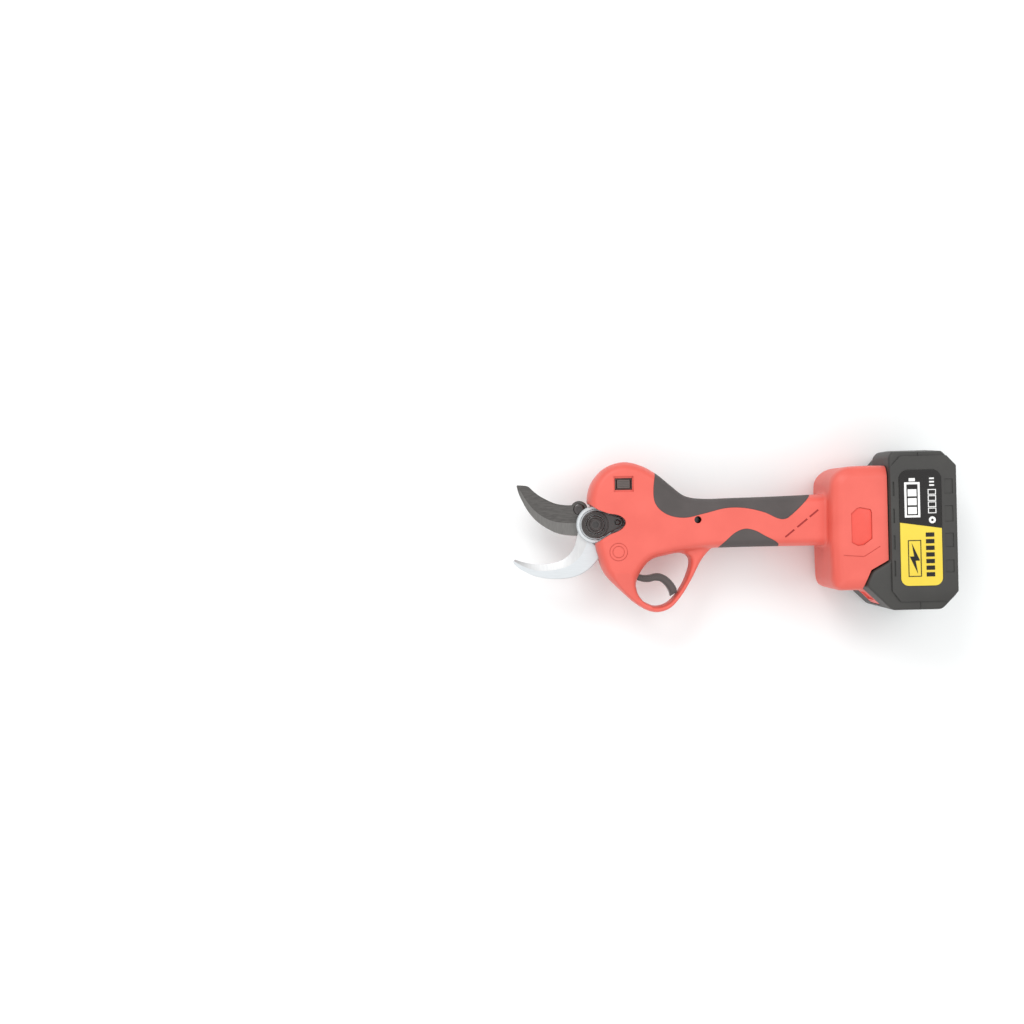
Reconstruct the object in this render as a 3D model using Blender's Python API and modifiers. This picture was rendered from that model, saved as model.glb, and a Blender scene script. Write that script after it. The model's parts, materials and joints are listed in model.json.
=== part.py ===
"""Battery electric pruner, modelled as an assembly of separate parts.

The tool lies on its side.  X runs along the tool with the blades at -X and the
battery at +X, Y points to the top of the handle, and Z points up.  The casing
splits at the parting plane z = MID.  Lengths below are millimetres and become
metres through MM.
"""
import bmesh
import bpy
import math
from mathutils import Matrix, Vector

MM = 0.001
GAP = 0.3                 # clearance between neighbouring pieces
MID = 38.0                # height of the casing's parting plane
WALL = 2.6                # casing wall
BODY_HALF = 19.5          # head and handle, half thickness
GUARD_HALF = 11.0         # trigger guard, half thickness
HOLDER_HALF = 33.5        # battery holder box, half thickness
BATTERY_HALF = 38.0       # battery, half thickness
PIVOT = (-97.3, 8.2)      # blade pivot axis
DRIVE_Y = 8.0             # motor and gearbox axis
TRIGGER_PIVOT = (-73.5, -30.0)
SWITCH = (-76.9, 37.2)    # power switch centre on the head
LOCK_SCREW = (-80.8, 9.5)
BLADE_STUD = (-108.5, 19.6)
CASE_SCREWS = ((-23.7, 10.2, 1), (55.0, 3.0, -1), (-83.0, -26.5, -1))

FIXED_BLADE = (38.15, 41.5)
FIXED_BOSS_TOP = 44.6
MOVING_BLADE = (33.5, 37.85)
SECTOR = (29.2, 33.2)
SECTOR_RADIUS = 25.0
WASHER = (28.1, 28.9)
FRAME = (23.8, 27.8)
NUT = (18.4, 23.5)
LOCK_PLATE = (44.9, 47.2)
BOLT_TOP = 49.8
BOLT_RADIUS = 4.0

COLOURS = {
    "red_plastic": ((0.80, 0.09, 0.06, 1), 0.38, 0.0),
    "grip_rubber": ((0.08, 0.075, 0.075, 1), 0.80, 0.0),
    "black_plastic": ((0.06, 0.055, 0.055, 1), 0.50, 0.0),
    "battery_plastic": ((0.07, 0.07, 0.07, 1), 0.55, 0.0),
    "dark_steel": ((0.12, 0.12, 0.115, 1), 0.40, 0.8),
    "bright_steel": ((0.80, 0.82, 0.83, 1), 0.18, 1.0),
    "steel": ((0.45, 0.45, 0.46, 1), 0.30, 1.0),
    "bronze": ((0.55, 0.36, 0.15, 1), 0.35, 1.0),
    "copper": ((0.70, 0.32, 0.16, 1), 0.35, 1.0),
    "board": ((0.03, 0.20, 0.08, 1), 0.55, 0.0),
    "cell_wrap": ((0.05, 0.25, 0.55, 1), 0.40, 0.0),
    "label": ((0.90, 0.75, 0.10, 1), 0.25, 0.0),
    "white_plastic": ((0.85, 0.85, 0.83, 1), 0.40, 0.0),
}

# Outlines run anticlockwise.  A third value of 1 marks a sharp corner.
BODY_OUTLINE = (
    (-97.8, -6.5, 1), (-96.3, -13), (-91, -28), (-80, -40.3), (-72, -47.6, 1), (-67.4, -45.2, 1),
    (-69, -38), (-66.3, -29), (-58, -18.9), (-46, -15.2), (-30, -12.6), (-14, -10.8), (77, -10.8, 1),
    (77, 27.1, 1), (40, 26), (0, 25.4), (-20, 25.4), (-32, 27.8), (-42, 35.5), (-52, 44),
    (-64, 50.8), (-77, 53.4), (-90, 49), (-99, 39), (-102.2, 29), (-102, 24, 1), (-96, 19.4),
    (-88, 16.3), (-78.5, 14.4), (-74.8, 9.6), (-78, 4.4), (-87, 0.7))
GUARD_OUTLINE = (
    (-84, -35, 1), (-80, -40.2, 1), (-68, -51.2), (-56, -56.9), (-45, -55.0), (-36.5, -47),
    (-28, -34), (-20, -19.2), (-13, -11, 1), (-13, -3, 1), (-62, -3, 1))
FINGER_OPENING = (
    (-46, -15.4), (-35, -14.1), (-28.6, -18.2), (-30, -28.5), (-36, -40.5), (-45, -50.4),
    (-55, -52.8), (-64, -48.3), (-69, -38), (-66.3, -29), (-58, -19))
HOLDER_OUTLINE = (
    (70, -37), (71.4, -41.2), (75, -43), (91, -43), (94, -35), (97, -28.4), (109.5, -21.5),
    (109.5, 46), (83.5, 46), (76.6, 44), (71.6, 38.6), (70, 32))
UPPER_GRIP = (
    (-52, 47, 1), (-53.8, 34), (-52.2, 22.5), (-44, 14.5), (-31, 11.7), (-16, 14.5), (0, 18.1),
    (14, 17.7), (28, 14.2), (39.5, 9), (47, 11), (55, 19.5), (62.5, 29, 1), (62.5, 60, 1), (-52, 60, 1))
LOWER_GRIP = (
    (-8.4, -13.7, 1), (38, -13.7, 1), (37.6, -8.3, 1), (28.3, -2.7), (20, 1.8), (13, 3), (6, 0.3),
    (0, -4.7), (-5.5, -9.6))


# ---------------------------------------------------------------- modelling tools
def clear_scene():
    for item in list(bpy.data.objects):
        bpy.data.objects.remove(item)


def collection(name):
    found = bpy.data.collections.new(name)
    bpy.context.scene.collection.children.link(found)
    return found


def material(name):
    found = bpy.data.materials.get(name)
    if found:
        return found
    colour, roughness, metallic = COLOURS[name]
    found = bpy.data.materials.new(name)
    found.use_nodes = True
    shader = found.node_tree.nodes["Principled BSDF"]
    shader.inputs["Base Color"].default_value = colour
    shader.inputs["Roughness"].default_value = roughness
    shader.inputs["Metallic"].default_value = metallic
    return found


def place(mesh, name, slot):
    """Link a mesh as a part with its material, or as a cutter when slot is None."""
    item = bpy.data.objects.new(name, mesh)
    if slot is None:
        CUTTERS.objects.link(item)
        item.hide_render = True
        item.display_type = "WIRE"
    else:
        PARTS.objects.link(item)
        mesh.materials.clear()
        mesh.materials.append(material(slot))
    return item


def curved(points, steps=3):
    """Closed outline through (x, y) points: smooth except at points marked 1."""
    count = len(points)
    result = []
    for i in range(count):
        p0, p1, p2, p3 = (points[(i + k) % count] for k in (-1, 0, 1, 2))
        sharp1, sharp2 = len(p1) > 2, len(p2) > 2
        result.append((p1[0], p1[1]))
        if sharp1 and sharp2:
            continue
        a, b, c, d = (Vector(p[:2]) for p in (p0, p1, p2, p3))
        span = (c - b).length
        out = (c - b) if sharp1 else (c - a).normalized() * span
        into = (c - b) if sharp2 else (d - b).normalized() * span
        for k in range(1, steps):
            t = k / steps
            spot = (b * (2 * t**3 - 3 * t**2 + 1) + out * (t**3 - 2 * t**2 + t)
                    + c * (3 * t**2 - 2 * t**3) + into * (t**3 - t**2))
            result.append((spot.x, spot.y))
    return result


def inset(points, amount):
    """Outline moved inwards by amount, with mitred corners."""
    count = len(points)
    result = []
    for i in range(count):
        before, here, after = (Vector(points[(i + k) % count]) for k in (-1, 0, 1))
        e1, e2 = (here - before).normalized(), (after - here).normalized()
        n1, n2 = Vector((-e1.y, e1.x)), Vector((-e2.y, e2.x))
        spread = (n1 + n2).normalized()
        spot = here + spread * (amount / max(spread.dot(n1), 0.5))
        result.append((spot.x, spot.y))
    return result


def arc(centre, radius, start, end, count):
    return [(centre[0] + radius * math.cos(math.radians(start + (end - start) * k / count)),
             centre[1] + radius * math.sin(math.radians(start + (end - start) * k / count)))
            for k in range(count + 1)]


def round_rims(form, radius, segments, both):
    """Round the edges between the flat end of an extrusion and its side walls."""
    top = max(v.co.z for v in form.verts)
    heights = (top, -top) if both else (top,)
    form.normal_update()
    rims = [e for e in form.edges if len(e.link_faces) == 2
            and any(all(abs(v.co.z - h) < 1e-7 for v in e.verts) for h in heights)
            and abs(abs(e.link_faces[0].normal.z) - abs(e.link_faces[1].normal.z)) > 0.5]
    bmesh.ops.bevel(form, geom=rims, offset=radius * MM, segments=segments, profile=0.5,
                    affect="EDGES", clamp_overlap=False)
    bmesh.ops.remove_doubles(form, verts=form.verts, dist=1e-6)


def slab(name, slot, points, low, high, bevel=0.0, segments=1, both_rims=False):
    """Flat outline extruded from low to high, with its top edge, or both, rounded."""
    curve = bpy.data.curves.new(name, "CURVE")
    curve.dimensions = "2D"
    curve.fill_mode = "BOTH"
    curve.extrude = (high - low) / 2 * MM
    spline = curve.splines.new("POLY")
    spline.points.add(len(points) - 1)
    for point, (x, y) in zip(spline.points, points):
        point.co = (x * MM, y * MM, 0, 1)
    spline.use_cyclic_u = True
    holder = bpy.data.objects.new(name + "_curve", curve)
    bpy.context.scene.collection.objects.link(holder)
    holder.location.z = (low + high) / 2 * MM
    bpy.context.view_layer.update()
    graph = bpy.context.evaluated_depsgraph_get()
    mesh = bpy.data.meshes.new_from_object(holder.evaluated_get(graph))
    place_at = holder.matrix_world.copy()
    bpy.data.objects.remove(holder)
    form = bmesh.new()
    form.from_mesh(mesh)
    bmesh.ops.remove_doubles(form, verts=form.verts, dist=1e-6)
    if bevel:
        round_rims(form, bevel, segments, both_rims)
    bmesh.ops.recalc_face_normals(form, faces=form.faces)
    form.to_mesh(mesh)
    form.free()
    item = place(mesh, name, slot)
    item.matrix_world = place_at
    return item


def half_slab(name, slot, points, near, far, side, bevel=0.0, segments=1):
    """Slab from near to far beyond the parting plane, on side +1 or -1, rounded at its far edge."""
    item = slab(name, slot, points, near, far, bevel, segments)
    placed = Matrix.Translation((0, 0, MID * MM)) @ Matrix.Scale(side, 4, (0, 0, 1))
    item.data.transform(placed @ item.matrix_world)
    item.matrix_world = Matrix.Identity(4)
    if side < 0:
        item.data.flip_normals()
    return item


def brick(name, slot, low, high, bevel=0.0):
    """Box between two corners, with its edges rounded by bevel."""
    form = bmesh.new()
    bmesh.ops.create_cube(form, size=1)
    size = [(b - a) * MM for a, b in zip(low, high)]
    bmesh.ops.scale(form, vec=size, verts=form.verts)
    mesh = bpy.data.meshes.new(name)
    form.to_mesh(mesh)
    form.free()
    item = place(mesh, name, slot)
    item.location = [(a + b) / 2 * MM for a, b in zip(low, high)]
    if bevel:
        soft = item.modifiers.new("edges", "BEVEL")
        soft.width = bevel * MM
        soft.segments = 2
    return item


def slanted(piece, spot, degrees):
    """Turn a box about Z through the origin and carry it to a spot."""
    angle = math.radians(degrees)
    piece.location = Matrix.Rotation(angle, 3, "Z") @ piece.location + Vector(spot) * MM
    piece.rotation_euler = (0, 0, angle)
    return piece


TURN = {"z": (0, 0, 0), "x": (0, math.pi / 2, 0), "y": (-math.pi / 2, 0, 0)}


def rod(name, slot, centre, radius, low, high, axis="z", sides=20, tip=None):
    """Cylinder, or cone when tip is given, from low to high along an axis."""
    form = bmesh.new()
    bmesh.ops.create_cone(form, cap_ends=True, segments=sides, radius1=radius * MM,
                          radius2=(radius if tip is None else tip) * MM, depth=(high - low) * MM)
    mesh = bpy.data.meshes.new(name)
    form.to_mesh(mesh)
    form.free()
    item = place(mesh, name, slot)
    middle = (low + high) / 2
    spot = {"z": (*centre, middle), "x": (middle, *centre), "y": (centre[0], middle, centre[1])}[axis]
    item.location = [v * MM for v in spot]
    item.rotation_euler = TURN[axis]
    return item


def turned(name, slot, centre, profile, axis="z", steps=24, closed=False):
    """Profile of (radius, height) points spun about an axis; it runs down its outer side."""
    mesh = bpy.data.meshes.new(name)
    links = [(i, i + 1) for i in range(len(profile) - 1)]
    if closed:
        links.append((len(profile) - 1, 0))
    mesh.from_pydata([(r * MM, 0, h * MM) for r, h in profile], links, [])
    item = place(mesh, name, slot)
    spin = item.modifiers.new("turn", "SCREW")
    spin.steps = spin.render_steps = steps
    spin.use_merge_vertices = True
    spin.merge_threshold = 0.00001
    spot = {"z": (*centre, 0), "x": (0, *centre), "y": (centre[0], 0, centre[1])}[axis]
    item.location = [v * MM for v in spot]
    item.rotation_euler = TURN[axis]
    return item


def ring(name, slot, centre, outer, inner, low, high, axis="z", steps=24):
    profile = ((outer, high), (outer, low), (inner, low), (inner, high))
    return turned(name, slot, centre, profile, axis, steps, closed=True)


def combine(target, operation, *others):
    for other in others:
        step = target.modifiers.new(other.name, "BOOLEAN")
        step.operation = operation
        step.object = other
        step.solver = "EXACT"
    return target


def cut(target, *others):
    return combine(target, "DIFFERENCE", *others)


def fuse(target, *others):
    return combine(target, "UNION", *others)


def hinge_at(name, spot):
    """Empty on a joint axis, which carries the pieces that turn with it."""
    empty = bpy.data.objects.new(name, None)
    empty.location = [v * MM for v in spot]
    PARTS.objects.link(empty)
    return empty


def carry(empty, *pieces):
    bpy.context.view_layer.update()
    for piece in pieces:
        kept = piece.matrix_world.copy()
        piece.parent = empty
        piece.matrix_parent_inverse = empty.matrix_world.inverted()
        piece.matrix_world = kept


# ---------------------------------------------------------------- casing
def grip_core(name, extra, side):
    """What a grip leaves of the body: the body drawn in on all sides."""
    body = inset(curved(BODY_OUTLINE), extra)
    return half_slab(name, None, body, -2, BODY_HALF - extra, side)


def grip_recess(name, region, side):
    space = half_slab(name + "_space", None, curved(region), -1, 26, side)
    return cut(space, grip_core(name + "_core", 1.6, side))


def housing(name, side):
    """One half of the casing: head, handle, trigger guard and battery holder."""
    body = half_slab(name, "red_plastic", curved(BODY_OUTLINE), 0.15, BODY_HALF, side)
    guard = half_slab(name + "_guard", None, curved(GUARD_OUTLINE), 0.15, GUARD_HALF, side)
    holder = half_slab(name + "_holder", None, HOLDER_OUTLINE, 0.15, HOLDER_HALF, side, 5.0, 2)
    fuse(body, guard, holder)
    cut(body, half_slab(name + "_opening", None, curved(FINGER_OPENING), -1, 24, side))
    inner = inset(curved(BODY_OUTLINE), WALL)
    cut(body, half_slab(name + "_hollow", None, inner, -1, BODY_HALF - 3.0, side))
    room = inset(HOLDER_OUTLINE, WALL + 0.4)
    cut(body, half_slab(name + "_holder_room", None, room, -1, HOLDER_HALF - 3.0, side))
    cut(body, *holder_channel(name, side), *blade_mouth(name, side))
    cut(body, brick(name + "_trigger_slot", None, (-72.8, -35.8, MID - 5.8), (-61.5, -24.6, MID + 5.8)))
    cut(body, grip_recess(name + "_upper", UPPER_GRIP, side))
    cut(body, grip_recess(name + "_lower", LOWER_GRIP, side))
    if side > 0:
        x, y = SWITCH
        cut(body, brick(name + "_switch", None, (x - 7.2, y - 5.6, MID + 17.6), (x + 7.2, y + 5.6, 70)),
            brick(name + "_switch_hole", None, (x - 6.3, y - 4.3, 50), (x + 6.3, y + 4.3, 70)))
    for number in range(len(CASE_SCREWS)):
        screw_boss(body, name, side, number)
    return body


def holder_channel(name, side):
    """T-shaped channel that the battery's rail block slides along."""
    wide = brick(name + "_channel_wide", None, (101, -60, MID - 23), (106, 43, MID + 23))
    neck = brick(name + "_channel_neck", None, (105, -60, MID - 19), (112, 43, MID + 19))
    return wide, neck


def blade_mouth(name, side):
    """Room round the pivot for the blades, gear sector and frame."""
    if side > 0:
        return (rod(name + "_ring_room", None, PIVOT, 14.5, 37, 45.0, sides=24),
                brick(name + "_tang_room", None, (-112, -23, 37), (-84, -2, 42)),
                rod(name + "_pinion_room", None, (DRIVE_Y, MID), 6.5, -82, -66, "x"))
    return (rod(name + "_hub_room", None, PIVOT, 14.3, 23.3, 38.5, sides=24),
            brick(name + "_sector_room", None, (-93.5, -15, 23.3), (-66, 31, 38.5)),
            rod(name + "_pinion_room", None, (DRIVE_Y, MID), 6.5, -82, -66, "x"))


def screw_boss(body, name, side, number):
    """Pillar inside the casing for one case screw, counterbored on the side the head is on."""
    x, y, head_side = CASE_SCREWS[number]
    low, high = sorted((MID + side * 0.15, MID + side * (BODY_HALF - 1.5)))
    fuse(body, rod(f"{name}_boss{number}", None, (x, y), 4.4, low, high, sides=12))
    if head_side == side:
        low, high = sorted((MID + side * 7.4, MID + side * (BODY_HALF + 3)))
        cut(body, rod(f"{name}_bore{number}", None, (x, y), 2.7, low, high, sides=12))
    low, high = sorted((MID - side, MID + side * 11.0))
    cut(body, rod(f"{name}_hole{number}", None, (x, y), 1.5, low, high, sides=8))


def case_screw(number):
    """Head and shank of one case screw, lying along Z through both halves."""
    x, y, side = CASE_SCREWS[number]
    low, high = sorted((MID + side * 7.7, MID + side * 9.9))
    head = rod(f"case_screw_{number + 1}", "steel", (x, y), 2.4, low, high, sides=12)
    low, high = sorted((MID - side * 9.5, MID + side * 8.5))
    return fuse(head, rod(f"case_screw_shank{number}", None, (x, y), 1.2, low, high, sides=8))


def grip(name, region, side):
    """Rubber overmould that wraps the handle's outer face and edge."""
    cover = half_slab(name, "grip_rubber", curved(BODY_OUTLINE), 0.15, BODY_HALF, side)
    keep = half_slab(name + "_region", None, inset(curved(region), 0.3), -1, 26, side)
    combine(cover, "INTERSECT", keep)
    return cut(cover, grip_core(name + "_inside", 1.3, side))


def build_casing():
    for word, side in (("right", 1), ("left", -1)):
        housing("housing_" + word, side)
        grip("upper_grip_" + word, UPPER_GRIP, side)
        grip("lower_grip_" + word, LOWER_GRIP, side)



# ---------------------------------------------------------------- cutting head
FIXED_OUTLINE = (
    (-158, -17.2, 1), (-157.2, -19.7, 1), (-150, -25), (-141, -29), (-130, -31), (-118, -30.8),
    (-108, -28), (-99, -21.5), (-92, -14, 1), (-86.5, -4, 1), (-90, 8, 1), (-104, 8, 1), (-110, 0),
    (-112.3, -7.5), (-117, -14), (-124, -18.3), (-132, -20), (-141, -20.1), (-150, -18.5))
MOVING_OUTLINE = (
    (-154, 38.2, 1), (-150.5, 27.5), (-144, 16), (-136, 8), (-126, 2.7), (-116, 0.5), (-107, 0, 1),
    (-98, 0, 1), (-96, 12, 1), (-101, 20, 1), (-108, 24, 1), (-114, 23), (-124, 23.7), (-134, 28),
    (-146, 37.2, 1))


def teardrop(radius, tail):
    """Disc round the pivot drawn out to a smaller disc round the lock screw."""
    across = math.degrees(math.acos((radius - tail) / (LOCK_SCREW[0] - PIVOT[0])))
    return (arc(PIVOT, radius, across, 360 - across, 16)
            + arc(LOCK_SCREW, tail, -across, across, 6))


def bored(piece, *holes):
    """Cut round holes, given as (centre, radius), right through a piece along Z."""
    for number, (centre, radius) in enumerate(holes):
        cut(piece, rod(f"{piece.name}_hole{number}", None, centre, radius, 0, 76, sides=16))
    return piece


def fixed_blade():
    blade = slab("fixed_blade", "bright_steel", curved(FIXED_OUTLINE), *FIXED_BLADE)
    boss = slab("fixed_boss", None, arc(PIVOT, 13.75, 0, 345, 23), FIXED_BLADE[0], FIXED_BOSS_TOP)
    tail = slab("fixed_tail", None, teardrop(10.0, 3.4), FIXED_BLADE[0], FIXED_BOSS_TOP)
    fuse(blade, boss, tail)
    return bored(blade, (PIVOT, BOLT_RADIUS + GAP), (LOCK_SCREW, 1.6))


def moving_blade():
    blade = slab("moving_blade", "dark_steel", curved(MOVING_OUTLINE), *MOVING_BLADE)
    fuse(blade, rod("moving_hub", None, PIVOT, 12.5, *MOVING_BLADE, sides=24),
         rod("moving_lobe", None, BLADE_STUD, 6.3, *MOVING_BLADE, sides=16))
    return bored(blade, (PIVOT, 6.3), (BLADE_STUD, 3.4))


def sector_gear():
    """Toothed sector behind the moving blade, with radial grooves that face the pinion."""
    rim = arc(PIVOT, SECTOR_RADIUS, -58, 10, 12)
    web = slab("sector_gear", "steel", rim + [(-97.3, 16.2), (-103, 8.2), (-97.3, 0.2)], *SECTOR)
    hub = rod("sector_hub", None, PIVOT, 10, *SECTOR, sides=20)
    arm = slab("sector_arm", None, arc(BLADE_STUD, 5.5, 43, 223, 6) + [(-101, 4), (-93, 12)], *SECTOR)
    fuse(web, hub, arm)
    for number in range(9):
        groove = brick(f"sector_groove{number}", None, (19.8, -0.7, -1), (26.5, 0.7, 1))
        cut(web, slanted(groove, (*PIVOT, SECTOR[1]), -54 + 7.5 * number))
    return bored(web, (PIVOT, BOLT_RADIUS + GAP), (BLADE_STUD, 3.3))


def blade_stud():
    stud = rod("blade_stud", "dark_steel", BLADE_STUD, 3.0, SECTOR[0] - 1, MOVING_BLADE[1] - 0.15, sides=16)
    head = rod("blade_stud_head", None, BLADE_STUD, 4.8, SECTOR[0] - 3.2, SECTOR[0] - GAP, sides=16)
    return fuse(stud, head)


def blade_bolt():
    """Pivot bolt: domed head with a hex socket, and a shank through the whole stack."""
    top, low = BOLT_TOP, LOCK_PLATE[0]
    profile = (
        (0, top), (5.2, top), (6.7, top - 1.4), (6.7, low), (BOLT_RADIUS, low),
        (BOLT_RADIUS, 17.6), (0, 17.6))
    bolt = turned("blade_bolt", "black_plastic", PIVOT, profile, steps=20)
    return cut(bolt, rod("bolt_socket", None, PIVOT, 2.6, top - 3.2, top + 1, sides=6))


def lock_plate():
    plate = slab("lock_plate", "black_plastic", teardrop(10.2, 3.9), *LOCK_PLATE, 0.5)
    return bored(plate, (PIVOT, 7.0), (LOCK_SCREW, 2.6))


def lock_screw():
    head = rod("lock_screw", "steel", LOCK_SCREW, 2.3, LOCK_PLATE[0], LOCK_PLATE[1] - 0.2, sides=12)
    return fuse(head, rod("lock_screw_shank", None, LOCK_SCREW, 1.3, 40, LOCK_PLATE[0] + 0.5, sides=8))


def head_frame():
    """Metal plate behind the gear sector that holds the pivot bolt."""
    plate = slab("head_frame", "steel", ((-92, -13.5), (-69.3, -13.5), (-69.3, 29), (-92, 29)), *FRAME)
    fuse(plate, rod("frame_eye", None, PIVOT, 10.6, *FRAME, sides=24))
    return bored(plate, (PIVOT, BOLT_RADIUS + GAP))


def build_head():
    fixed_blade()
    lock_plate()
    lock_screw()
    blade_bolt()
    head_frame()
    bored(rod("pivot_nut", "steel", PIVOT, 7.4, *NUT, sides=6), (PIVOT, BOLT_RADIUS + GAP))
    ring("thrust_washer", "bronze", PIVOT, 9, BOLT_RADIUS + GAP, *WASHER, steps=20)
    bush = ring("pivot_bush", "bronze", PIVOT, 6.0, BOLT_RADIUS + GAP, *MOVING_BLADE, steps=20)
    axis = hinge_at("blade_axis", (*PIVOT, MID))
    carry(axis, moving_blade(), sector_gear(), blade_stud(), bush)


# ---------------------------------------------------------------- drive train
TOOTH_GEARS = 12          # teeth on the sun and on each planet
PLANET_REACH = 7.2        # sun axis to planet axis
PLANET_SPAN = (-61.0, -54.5)


def gear(name, slot, centre, radius, root, low, high, taper=1.0, teeth=TOOTH_GEARS):
    """Toothed wheel along X; taper shrinks its low end."""
    outline = []
    for tooth in range(teeth):
        for share, reach in ((0.0, root), (0.3, radius), (0.6, radius), (0.9, root)):
            angle = (tooth + share) / teeth * 2 * math.pi
            outline.append((reach * math.cos(angle), reach * math.sin(angle)))
    wheel = slab(name, slot, outline, low, high)
    for vertex in wheel.data.vertices:
        if vertex.co.z < 0:
            vertex.co.x *= taper
            vertex.co.y *= taper
    wheel.location = ((low + high) / 2 * MM, centre[0] * MM, centre[1] * MM)
    wheel.rotation_euler = TURN["x"]
    return wheel


def planet_centre(number):
    angle = 2 * math.pi * number / 3 + math.pi / 2
    return DRIVE_Y + PLANET_REACH * math.cos(angle), MID + PLANET_REACH * math.sin(angle)


def planet_carrier():
    """Carrier plate with three planet pins and the output shaft."""
    axis = (DRIVE_Y, MID)
    plate = rod("planet_carrier", "steel", axis, 10.6, -64.2, -61.4, "x", 24)
    fuse(plate, rod("carrier_shaft", None, axis, 2.4, -69.2, -63.5, "x", 12))
    for number in range(3):
        fuse(plate, rod(f"planet_pin_{number}", None, planet_centre(number), 1.1, -62, -54, "x", 10))
    return plate


def build_drive():
    axis = (DRIVE_Y, MID)
    ring("bearing_plate", "steel", axis, 13.4, 7.8, -68.9, -65.0, "x")
    ring("output_bearing", "steel", axis, 7.5, 2.7, -68.9, -65.2, "x", 20)
    ring("ring_gear", "steel", axis, 13.4, 11.3, -64.6, -52.0, "x")
    output = hinge_at("output_axis", (-69, *axis))
    carry(output, planet_carrier(), gear("output_pinion", "steel", axis, 4.4, 3.4, -75.5, -69.5, 0.72, 10))
    for number in range(3):
        spot = planet_centre(number)
        planet = gear(f"planet_gear_{number + 1}", "bronze", spot, 3.6, 2.9, *PLANET_SPAN)
        cut(planet, rod(f"planet_hole_{number}", None, spot, 1.4, -66, -50, "x", 10))
        hub = hinge_at(f"planet_axis_{number + 1}", (PLANET_SPAN[0], *spot))
        carry(output, hub)
        carry(hub, planet)
    ring("motor_can", "dark_steel", axis, 14.0, 12.7, -51.5, -28.8, "x")
    ring("motor_stator", "copper", axis, 12.4, 8.4, -46.0, -32.5, "x")
    ring("motor_front_cap", "steel", axis, 12.4, 2.0, -51.3, -49.2, "x")
    ring("motor_rear_cap", "steel", axis, 12.4, 2.0, -31.0, -29.0, "x")
    profile = (
        (0, -28.6), (1.6, -28.6), (1.6, -32.5), (7.8, -32.5), (7.8, -47), (1.6, -47), (1.6, -53.6),
        (0, -53.6))
    rotor = turned("motor_rotor", "steel", axis, profile, "x", 20)
    sun = gear("sun_gear", "steel", axis, 3.3, 2.6, -60.8, -53.9)
    carry(hinge_at("motor_axis", (-53.6, *axis)), rotor, sun)


# ---------------------------------------------------------------- trigger, switch and electronics
TRIGGER_OUTLINE = (
    (-69.5, -27.2), (-65.5, -28.2), (-61, -28.0), (-53, -28.2), (-48, -29.6), (-44, -32.2), (-40.4, -36),
    (-38.4, -39.8), (-38.2, -42.6, 1), (-43.2, -45.6, 1), (-43.4, -43), (-45.2, -39.6), (-48.5, -36.3),
    (-53, -34.0), (-60, -33.9), (-65, -33.6), (-69.5, -33.0), (-74, -34.2), (-77.4, -30), (-74, -25.8))


def trigger():
    lever = slab("trigger", "black_plastic", curved(TRIGGER_OUTLINE, 2), MID - 5, MID + 5, 0.8, 1, True)
    return bored(lever, (TRIGGER_PIVOT, 1.8))


def trigger_spring():
    """Coil between the housing and the underside of the trigger's root."""
    turns, radius, points = 4, 1.7, 10
    curve = bpy.data.curves.new("trigger_spring", "CURVE")
    curve.dimensions = "3D"
    curve.bevel_depth = 0.3 * MM
    curve.bevel_resolution = 1
    curve.use_fill_caps = True
    spline = curve.splines.new("POLY")
    spline.points.add(turns * points)
    for number, point in enumerate(spline.points):
        angle = 2 * math.pi * number / points
        rise = 4.2 * number / (turns * points)
        x, z = -74 + radius * math.cos(angle), MID + radius * math.sin(angle)
        point.co = (x * MM, (-39.4 + rise) * MM, z * MM, 1)
    spring = bpy.data.objects.new("trigger_spring", curve)
    curve.materials.append(material("steel"))
    PARTS.objects.link(spring)
    return spring


def power_switch():
    """Rocker switch: a body with a pocket, and the rocker that tilts in it."""
    x, y = SWITCH
    body = brick("switch_body", "black_plastic", (x - 6, y - 4, MID + 8), (x + 6, y + 4, MID + 17.4))
    cut(body, brick("rocker_pocket", None, (x - 5.4, y - 3.4, MID + 11.6), (x + 5.4, y + 3.4, MID + 20)))
    low, high = (x - 4.7, y - 3.1, MID + 13), (x + 4.7, y + 3.1, MID + 18.2)
    rocker = brick("power_rocker", "black_plastic", low, high, 0.5)
    carry(hinge_at("rocker_axis", (x, y, MID + 14)), rocker)


def build_controls():
    carry(hinge_at("trigger_axis", (*TRIGGER_PIVOT, MID)), trigger())
    rod("trigger_pin", "steel", TRIGGER_PIVOT, 1.5, MID - 15, MID + 15, sides=12)
    trigger_spring()
    power_switch()
    brick("control_board", "board", (-16, -6, MID - 8), (46, 20, MID - 6.4))
    brick("motor_driver", "black_plastic", (-10, 0, MID - 6.1), (28, 16, MID - 1), 0.4)
    block = brick("terminal_block", "black_plastic", (95.5, -14, MID - 17), (99.5, 34, MID + 17), 0.6)
    for number, z in enumerate((MID - 10, MID, MID + 10)):
        blade = brick(f"terminal_blade_{number}", None, (99, 4, z - 0.5), (100.7, 26, z + 0.5))
        fuse(block, blade)


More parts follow.
